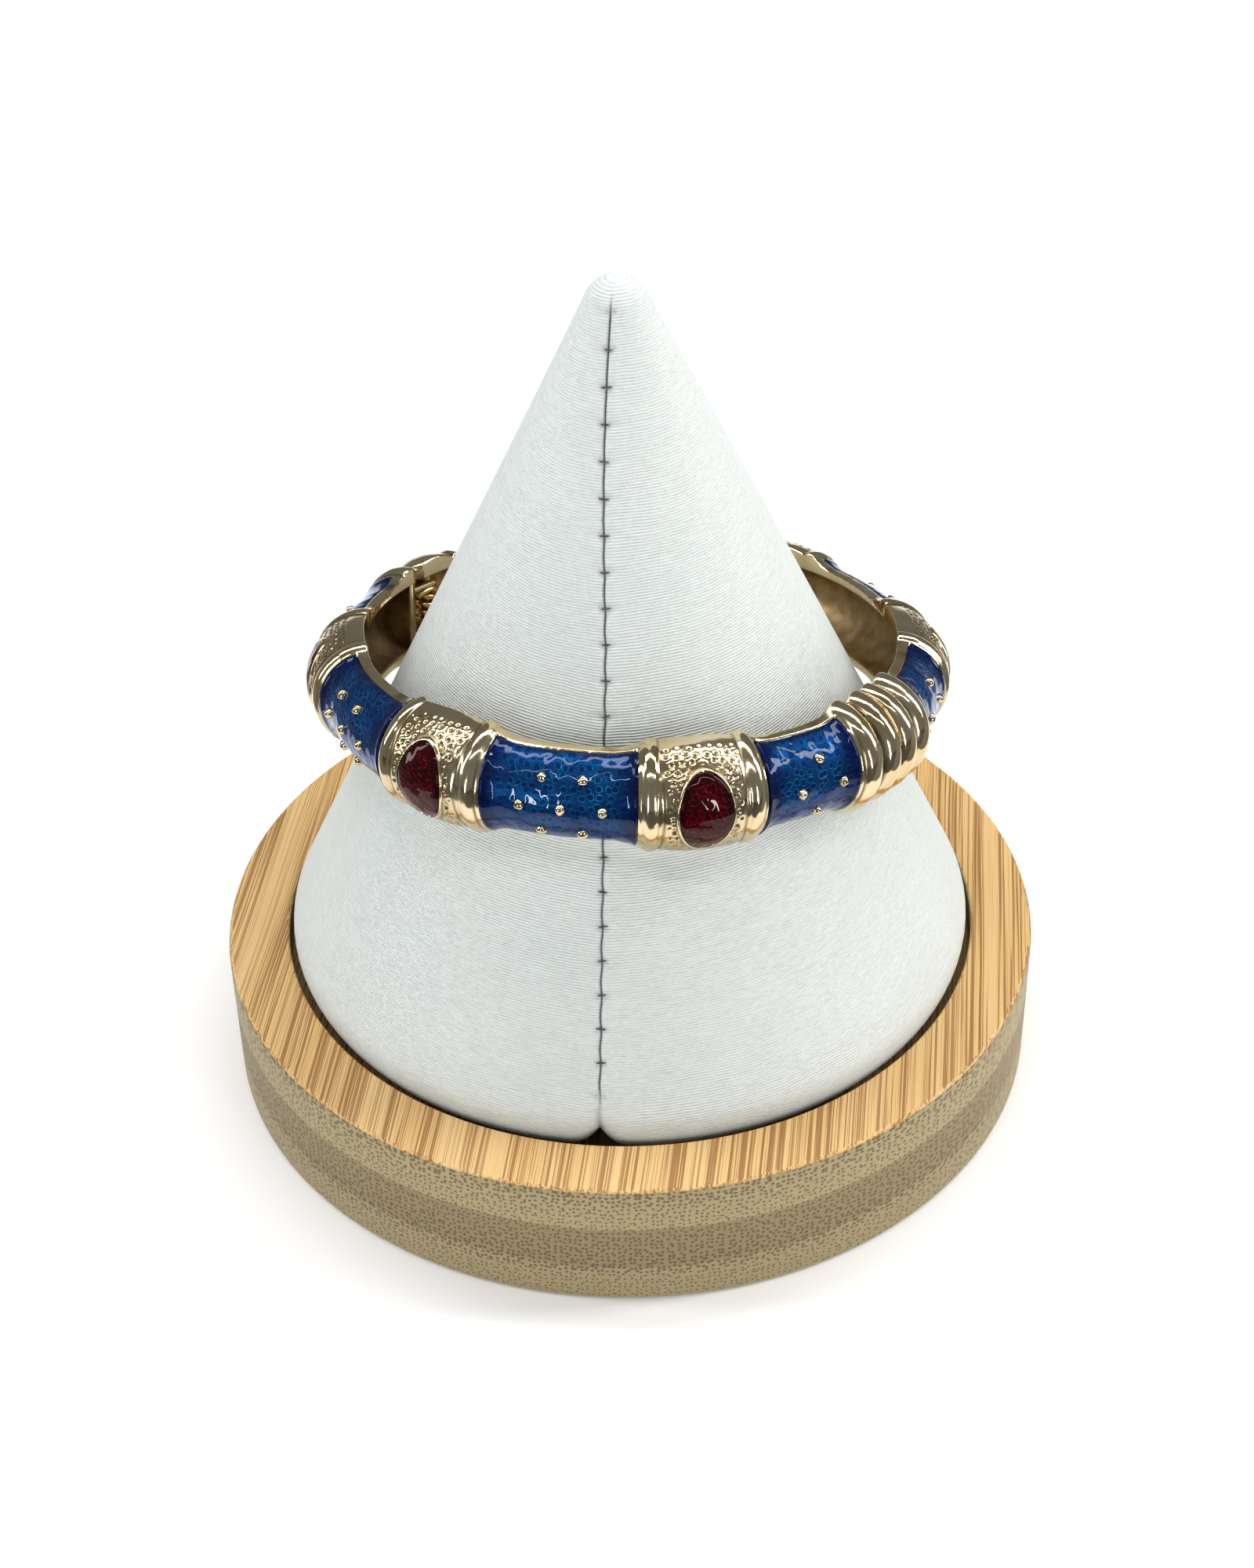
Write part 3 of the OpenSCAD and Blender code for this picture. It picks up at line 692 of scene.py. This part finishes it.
class Graph:
    """Short names for the nodes that the materials use."""

    def __init__(self, name):
        self.material = bpy.data.materials.new(name)
        self.material.use_nodes = True
        self.nodes, self.links = self.material.node_tree.nodes, self.material.node_tree.links
        self.nodes.clear()
        self.shader = self.nodes.new("ShaderNodeBsdfPrincipled")
        out = self.nodes.new("ShaderNodeOutputMaterial")
        self.links.new(self.shader.outputs[0], out.inputs[0])

    def put(self, socket, value):
        """Links a socket to an input, or sets the input to a plain value."""
        if isinstance(value, bpy.types.NodeSocket):
            self.links.new(value, socket)
        else:
            socket.default_value = value

    def node(self, kind, inputs, out=0, **settings):
        """New node with its settings and inputs; gives back one of its outputs."""
        n = self.nodes.new(kind)
        for key, value in settings.items():
            setattr(n, key, value)
        for key, value in inputs.items():
            self.put(n.inputs[key], value)
        return n.outputs[out]

    def math(self, operation, a, b=0.0, c=0.0):
        return self.node("ShaderNodeMath", {0: a, 1: b, 2: c}, operation=operation)

    def value(self, name):
        return self.node("ShaderNodeAttribute", {}, "Fac", attribute_name=name)

    def vector(self, name):
        return self.node("ShaderNodeAttribute", {}, "Vector", attribute_name=name)

    def spot(self):
        """Place on the object, in metres."""
        return self.node("ShaderNodeTexCoord", {}, "Object")

    def split(self, vector):
        """The X, Y and Z of a vector."""
        return self.node("ShaderNodeSeparateXYZ", {0: vector}).node.outputs

    def join(self, x, y):
        return self.node("ShaderNodeCombineXYZ", {0: x, 1: y})

    def scaled(self, vector, x, y, z, turn=0.0):
        inputs = {"Vector": vector, "Scale": (x, y, z), "Rotation": (0, 0, turn)}
        return self.node("ShaderNodeMapping", inputs)

    def shifted(self, vector, amount, x, y=0.0):
        """A vector moved by an amount times x and y."""
        inputs = {0: amount, 1: (x, y, 0), 2: vector}
        return self.node("ShaderNodeVectorMath", inputs, operation="MULTIPLY_ADD")

    def noise(self, vector, scale, detail=2.0, rough=0.5):
        inputs = {"Vector": vector, "Scale": scale, "Detail": detail, "Roughness": rough}
        return self.node("ShaderNodeTexNoise", inputs)

    def cells(self, vector, scale, random):
        """Distance to the nearest of many scattered points."""
        inputs = {"Vector": vector, "Scale": scale, "Randomness": random}
        return self.node("ShaderNodeTexVoronoi", inputs, "Distance", voronoi_dimensions="2D")

    def ramp(self, fac, *stops):
        """Colour ramp of two or more stops, each a position and a colour."""
        n = self.nodes.new("ShaderNodeValToRGB")
        self.put(n.inputs[0], fac)
        e = n.color_ramp.elements
        e[0].position, e[0].color = stops[0]
        e[1].position, e[1].color = stops[-1]
        for position, colour in stops[1:-1]:
            e.new(position).color = colour
        return n.outputs[0]

    def level(self, fac, *stops):
        """Ramp of plain numbers."""
        return self.ramp(fac, *[(p, (v, v, v, 1)) for p, v in stops])

    def mix(self, fac, a, b, blend="MIX"):
        n = self.nodes.new("ShaderNodeMix")
        n.data_type, n.blend_type = "RGBA", blend
        self.put(n.inputs[0], fac)
        self.put(n.inputs[6], a)
        self.put(n.inputs[7], b)
        return n.outputs[2]

    def bump(self, height, strength, distance, normal=None, sunk=False):
        """Relief; with sunk the high values are dents."""
        inputs = {"Height": height, "Strength": strength, "Distance": distance}
        if normal is not None:
            inputs["Normal"] = normal
        return self.node("ShaderNodeBump", inputs, invert=sunk)

    def finish(self, **inputs):
        """Sets the shader's inputs, with their spaces written as underscores."""
        for key, value in inputs.items():
            self.put(self.shader.inputs[key.replace("_", " ")], value)
        return self.material

    def enamel(self, colour, ring, wave, metal, rough, tint):
        """Clear glaze with a wavy surface over a base that shines like foil, with the pattern's relief."""
        return self.finish(Base_Color=colour, Metallic=metal, Roughness=rough, Specular_Tint=tint,
                           Specular_IOR_Level=0.05, Normal=self.bump(ring[0], ring[1], 0.00012, sunk=True),
                           Coat_Weight=1.0, Coat_Roughness=0.02, Coat_IOR=1.3, Coat_Normal=wave)


def gilt(name, tone=(0.90, 0.835, 0.69), rough=0.06):
    """Bright gilding, with shade painted dark brown into its hollows and creases, and dull on its inner side.
    """
    g = Graph(name)
    where = g.spot()
    cavity, inside = g.value("cavity"), g.value("inside")
    patch = g.noise(where, 160, 3, 0.6)
    warm = linear(tone[0] * 0.93, tone[1] * 0.89, tone[2] * 0.8)
    colour = g.ramp(patch, (0.3, warm), (0.62, linear(*tone)))
    # Painted shade: hollows, pits and creases darkened towards dark brown
    colour = g.mix(cavity, colour, linear(0.30, 0.24, 0.13))
    dull = g.noise(where, 420, 4, 0.6)
    dull = g.ramp(dull, (0.35, linear(0.54, 0.45, 0.31)), (0.7, linear(0.72, 0.62, 0.45)))
    colour = g.mix(inside, colour, dull)
    shine = g.math("MULTIPLY_ADD", g.level(patch, (0.3, 0.0), (0.7, 1.0)), 0.10, rough)
    shine = g.math("MULTIPLY_ADD", cavity, 0.25, shine)
    shine = g.math("MULTIPLY_ADD", inside, 0.30, shine)
    uneven = g.bump(g.noise(where, 380), 0.5, 0.00022)
    relief = g.bump(g.noise(where, 2600), 0.15, 0.00002, uneven)
    return g.finish(Base_Color=colour, Metallic=1.0, Roughness=shine, Normal=relief)


def blue_glass():
    """Blue enamel with small rings in it, darker towards the ends of a panel and with painted shade along its
    lips.
    """
    g = Graph("blue_enamel_glass")
    flat, dark = g.vector("flat"), g.value("dark")
    warp = g.noise(g.scaled(flat, 0.9, 0.9, 1), 1.0)
    gap = g.cells(g.shifted(flat, warp, 0.5, -0.4), 1.06, 0.62)
    ring = g.level(gap, (0.0, 0.12), (0.25, 0.05), (0.32, 0.5), (0.36, 1.0), (0.41, 0.40), (0.6, 0.32))
    wide = g.level(g.noise(flat, 0.42, 2), (0.35, 0.0), (0.65, 1.0))
    speck = g.level(g.noise(flat, 5.5, 3, 0.6), (0.3, 0.0), (0.75, 1.0))
    bright = g.math("MULTIPLY", ring, g.math("MULTIPLY_ADD", wide, 0.6, 0.4))
    bright = g.math("MULTIPLY", bright, g.math("MULTIPLY_ADD", speck, 0.7, 0.5))
    # The dark value: deeper colour towards a panel's ends, and painted shade along its lips
    bright = g.math("MULTIPLY", bright, g.math("MULTIPLY_ADD", dark, -0.72, 1.0))
    colour = g.ramp(bright, (0.0, linear(0.01, 0.12, 0.30)), (0.28, linear(0.02, 0.25, 0.47)),
                    (0.6, linear(0.05, 0.42, 0.64)), (1.0, linear(0.25, 0.66, 0.82)))
    colour = g.mix(g.math("MULTIPLY", dark, 0.85), colour, linear(0.01, 0.05, 0.24))
    wave = g.bump(g.noise(flat, 0.42, 1), 0.8, 0.0005, sunk=True)
    return g.enamel(colour, (ring, 0.8), wave, 0.7, 0.36, (0.25, 0.45, 0.8, 1))


def red_glass():
    """Red enamel with flecks in it, darker towards its rim."""
    g = Graph("red_enamel_glass")
    flat, dark = g.vector("flat"), g.value("dark")
    gap = g.cells(g.shifted(flat, g.noise(flat, 1.4, 3), 0.9, -0.9), 1.25, 0.9)
    ring = g.level(gap, (0.0, 0.12), (0.22, 0.1), (0.38, 0.8), (0.5, 0.35), (0.7, 0.15))
    speck = g.level(g.noise(flat, 4.5, 3, 0.65), (0.38, 0.0), (0.72, 1.0))
    bright = g.math("MULTIPLY", ring, g.math("MULTIPLY_ADD", speck, 0.9, 0.25))
    bright = g.math("MULTIPLY", bright, g.math("MULTIPLY_ADD", dark, -0.8, 1.0))
    colour = g.ramp(bright, (0.0, linear(0.10, 0.0, 0.01)), (0.35, linear(0.26, 0.0, 0.03)),
                    (0.85, linear(0.75, 0.05, 0.14)))
    wave = g.bump(g.noise(flat, 0.5, 1), 0.8, 0.0004, sunk=True)
    return g.enamel(colour, (ring, 0.7), wave, 0.6, 0.38, (0.8, 0.2, 0.25, 1))


def cover_cloth():
    """White covering with fine woven rows that sag away from the seam, with shade painted dark grey into the
    seam, its dimples and the notch.
    """
    g = Graph("white_cover")
    flat = g.vector("flat")
    drift = g.math("MULTIPLY", g.noise(g.scaled(flat, 0.12, 0.12, 0.12), 1.0), 0.8)
    sag = g.math("MULTIPLY_ADD", g.value("away"), 0.05, g.split(flat)[1])
    rows = g.math("SINE", g.math("MULTIPLY", g.math("ADD", sag, drift), 2 * math.pi / 0.3))
    cross = g.noise(g.scaled(flat, 1.2, 5.0, 1.2), 1.0, 2, 0.6)
    grain = g.noise(g.scaled(flat, 3.5, 3.5, 3.5), 1.0, 3, 0.6)
    raised = g.level(cross, (0.3, 0.15), (0.7, 0.5))
    weave = g.math("MULTIPLY_ADD", rows, raised, g.math("MULTIPLY", grain, 0.5))
    tint = g.noise(g.spot(), 45, 3)
    tint = g.ramp(tint, (0.3, linear(0.887, 0.913, 0.902)), (0.7, linear(0.912, 0.934, 0.922)))
    fleck = g.level(g.noise(g.scaled(flat, 2.5, 9, 2.5), 1.0, 3, 0.6), (0.25, 0.91), (0.6, 1.0))
    tint = g.mix(1.0, tint, fleck, "MULTIPLY")
    stripe = g.math("MULTIPLY_ADD", rows, g.level(cross, (0.3, 0.1), (0.7, 0.4)), 0.5)
    tint = g.mix(1.0, tint, g.level(stripe, (0.1, 0.79), (0.55, 1.0)), "MULTIPLY")
    # Painted shade: the dark value darkens the seam's groove, the dimples by the stitches and the notch at
    # the foot
    tint = g.mix(g.math("MULTIPLY", g.value("dark"), 0.9), tint, linear(0.20, 0.21, 0.21))
    return g.finish(Base_Color=tint, Roughness=0.62, Specular_IOR_Level=0.35, Sheen_Weight=0.15,
                    Normal=g.bump(weave, 1.0, 0.0001))


def thread():
    """Grey twisted thread."""
    g = Graph("seam_thread")
    tint = g.noise(g.spot(), 3000, 3)
    tint = g.ramp(tint, (0.3, linear(0.14, 0.15, 0.15)), (0.7, linear(0.36, 0.38, 0.38)))
    twist = g.math("SINE", g.math("MULTIPLY", g.noise(g.spot(), 2000), 20.0))
    return g.finish(Base_Color=tint, Roughness=0.6, Normal=g.bump(twist, 0.3, 0.00003))


def bamboo():
    """Bamboo in three plies: long streaks on top, on the sides pores where the grain is cut, and painted
    shade in the recess.
    """
    g = Graph("bamboo_wood")
    where = g.scaled(g.spot(), 1000, 1000, 1000, math.radians(7))
    _, length, height = g.split(where)
    up = g.split(g.node("ShaderNodeNewGeometry", {}, "Normal"))[2]
    top = g.level(up, (0.45, 0.0), (0.75, 1.0))
    bent = g.shifted(where, g.noise(g.scaled(where, 0.06, 0.02, 0.06), 1.0), 0.7)
    streak = g.noise(g.scaled(bent, 3.6, 0.010, 3.6), 1.0, 3, 0.7)
    broad = g.noise(g.scaled(bent, 0.25, 0.01, 0.25), 1.0)
    fine = g.noise(g.scaled(bent, 9.0, 0.03, 9.0), 1.0, 2, 0.6)
    streaks = g.level(streak, (0.515, 0.0), (0.545, 1.0))
    streaks = g.math("MULTIPLY", streaks, g.level(broad, (0.3, 0.6), (0.5, 1.0)))
    pale = g.ramp(broad, (0.35, linear(0.905, 0.762, 0.53)), (0.65, linear(0.88, 0.722, 0.475)))
    tops = g.mix(g.math("MULTIPLY", streaks, 0.85), pale, linear(0.58, 0.40, 0.20))
    thin = g.level(fine, (0.55, 0.0), (0.59, 1.0))
    thin = g.math("MULTIPLY", thin, g.level(broad, (0.42, 0.15), (0.56, 0.8)))
    tops = g.mix(thin, tops, linear(0.56, 0.38, 0.19))
    reach = g.node("ShaderNodeVectorMath", {0: where, 1: (1, 1, 0)}, operation="MULTIPLY")
    reach = g.node("ShaderNodeVectorMath", {0: reach}, "Value", operation="LENGTH")
    cut = g.math("DIVIDE", g.math("ABSOLUTE", length), reach)
    cut = g.level(cut, (0.15, 0.0), (0.5, 1.0))
    edge = g.math("MULTIPLY_ADD", g.noise(g.scaled(where, 0.05, 0.05, 0.05), 1.0), 0.9, -0.45)
    level = g.math("ADD", height, edge)
    upper = g.level(g.math("SUBTRACT", level, 10.0), (0.35, 0.0), (0.65, 1.0))
    lower = g.level(g.math("SUBTRACT", level, 4.3), (0.35, 0.0), (0.65, 1.0))
    ply = g.mix(lower, linear(0.63, 0.57, 0.42), linear(0.56, 0.495, 0.35))
    ply = g.mix(upper, ply, linear(0.66, 0.60, 0.44))
    streaky = g.math("MULTIPLY", streaks, g.math("MULTIPLY_ADD", cut, -0.35, 0.57))
    ply = g.mix(streaky, ply, linear(0.46, 0.38, 0.25))
    end_grain = g.join(g.split(bent)[0], height)
    bands = g.level(g.math("MULTIPLY", height, 1 / 16.0), (0.0, 0.13), (0.22, 0.18), (0.27, 0.29),
                    (0.40, 0.24), (0.62, 0.20), (0.68, 0.15), (0.85, 0.22), (0.97, 0.32))
    crowd = g.level(g.noise(end_grain, 0.9, 2, 0.7), (0.4, -0.12), (0.6, 0.03))
    pore = g.math("SUBTRACT", g.cells(end_grain, 1.75, 0.65), g.math("ADD", bands, crowd))
    pore = g.math("MULTIPLY", g.level(pore, (0.0, 1.0), (0.08, 0.0)), cut)
    sides = g.mix(g.math("MULTIPLY", pore, 0.68), ply, linear(0.29, 0.22, 0.13))
    colour = g.mix(top, sides, tops)
    # Painted shade: the recess's wall and floor darkened by half towards dark brown
    recess_shade = g.math("LESS_THAN", reach, RECESS_R + 0.1)
    recess_shade = g.math("MULTIPLY", recess_shade, g.math("LESS_THAN", height, BASE_H - 0.5))
    colour = g.mix(g.math("MULTIPLY", recess_shade, 0.5), colour, linear(0.22, 0.15, 0.09))
    pits = g.math("MULTIPLY", pore, g.math("SUBTRACT", 1.0, top))
    relief = g.math("MULTIPLY_ADD", pits, -1.0, g.math("MULTIPLY", fine, 0.35))
    return g.finish(Base_Color=colour, Roughness=g.level(streak, (0.3, 0.42), (0.7, 0.6)),
                    Specular_IOR_Level=0.35, Normal=g.bump(relief, 0.5, 0.00012))


def floor_paint():
    """Pale matt floor with a little light of its own."""
    g = Graph("pale_floor")
    tint = g.ramp(g.noise(g.spot(), 8, 2), (0.3, (0.93, 0.93, 0.93, 1)), (0.7, (0.95, 0.95, 0.95, 1)))
    return g.finish(Base_Color=tint, Roughness=0.8, Specular_IOR_Level=0.1, Emission_Color=(1, 1, 1, 1),
                    Emission_Strength=0.12)


def plain_card(name, value):
    """Matt grey board."""
    g = Graph(name)
    return g.finish(Base_Color=(value, value, value, 1), Roughness=1.0, Specular_IOR_Level=0.0)


# Make the pieces
gold = gilt("gilt_cast")
shell("gilt_front", 1, FRONT, "front_shell", gold)
shell("gilt_back", -1, BACK, "back_shell", gold)
blue = blue_glass()
for i in range(8):
    blue_panel(i, blue)
red = red_glass()
for i in range(6):
    red_dome(i, red)
hinge_gold = gilt("gilt_hinge", (0.80, 0.68, 0.44), 0.16)
spring(hinge_gold)
pin = frame["nodes"]["hinge_pin"]
pin.data.materials.clear()
pin.data.materials.append(hinge_gold)
cone(cover_cloth())
stitches(thread())
base(bamboo())

# Floor and light
def board(name, outline, z, material):
    """Flat board of the stage, from its outline and height."""
    mesh = bpy.data.meshes.new(name)
    mesh.from_pydata([(x, y, z) for x, y in outline], [], [(0, 1, 2, 3)])
    mesh.materials.append(material)
    obj = bpy.data.objects.new(name, mesh)
    bpy.context.collection.objects.link(obj)
    return obj


def softbox(name, where, aim_z, size_x, size_y, watts, seen=True, colour=(1, 1, 1)):
    """Area light aimed at the axis; one that isn't seen lights matt surfaces and leaves no reflection."""
    data = bpy.data.lights.new(name, "AREA")
    data.shape, data.size, data.size_y = "RECTANGLE", size_x, size_y
    data.energy, data.color = watts, colour
    obj = bpy.data.objects.new(name, data)
    bpy.context.collection.objects.link(obj)
    obj.location = where
    obj.rotation_euler = (Vector(where) - Vector((0, 0, aim_z))).to_track_quat("Z", "Y").to_euler()
    obj.visible_glossy = seen


board("floor", [(-3, -3), (3, -3), (3, 3), (-3, 3)], -0.0002, floor_paint())

# Cards on the floor that the camera doesn't see, for the metal and enamel to reflect
for name, value, outline in (
        ("front_card", 0.08, [(-1.2, -1.3), (1.2, -1.3), (1.2, -0.095), (-1.2, -0.095)]),
        ("left_card", 0.16, [(-1.2, -0.095), (-0.08, -0.095), (-0.17, 0.4), (-1.2, 0.4)]),
        ("right_card", 0.16, [(1.2, -0.095), (1.2, 0.4), (0.17, 0.4), (0.08, -0.095)])):
    card = board(name, outline, 0.001, plain_card(name, value))
    card.visible_camera = card.visible_diffuse = card.visible_shadow = False

softbox("top_light", (0.0, 0.16, 0.62), 0.04, 0.90, 0.11, 2.8)
softbox("camera_strip", (0.0, -0.27, 0.62), 0.04, 0.90, 0.012, 0.9)
softbox("left_light", (-0.55, 0.02, 0.36), 0.05, 0.10, 0.50, 1.15)
softbox("right_light", (0.55, 0.05, 0.36), 0.05, 0.12, 0.50, 2.3, colour=(1, 0.98, 0.95))
softbox("low_left", (-0.30, -0.50, 0.10), 0.04, 0.018, 0.30, 0.6)
softbox("low_right", (0.30, -0.50, 0.10), 0.04, 0.018, 0.30, 0.6)
softbox("front_fill", (0.0, -0.60, 0.30), 0.04, 0.60, 0.30, 0.25, seen=False)
world = bpy.data.worlds.new("studio")
world.use_nodes = True
background = world.node_tree.nodes["Background"]
background.inputs["Color"].default_value = (0.97, 0.98, 1.0, 1)
background.inputs["Strength"].default_value = 0.18
bpy.context.scene.world = world
view = bpy.context.scene.view_settings
view.view_transform, view.look, view.exposure, view.gamma = "Standard", "None", 0.0, 1.0
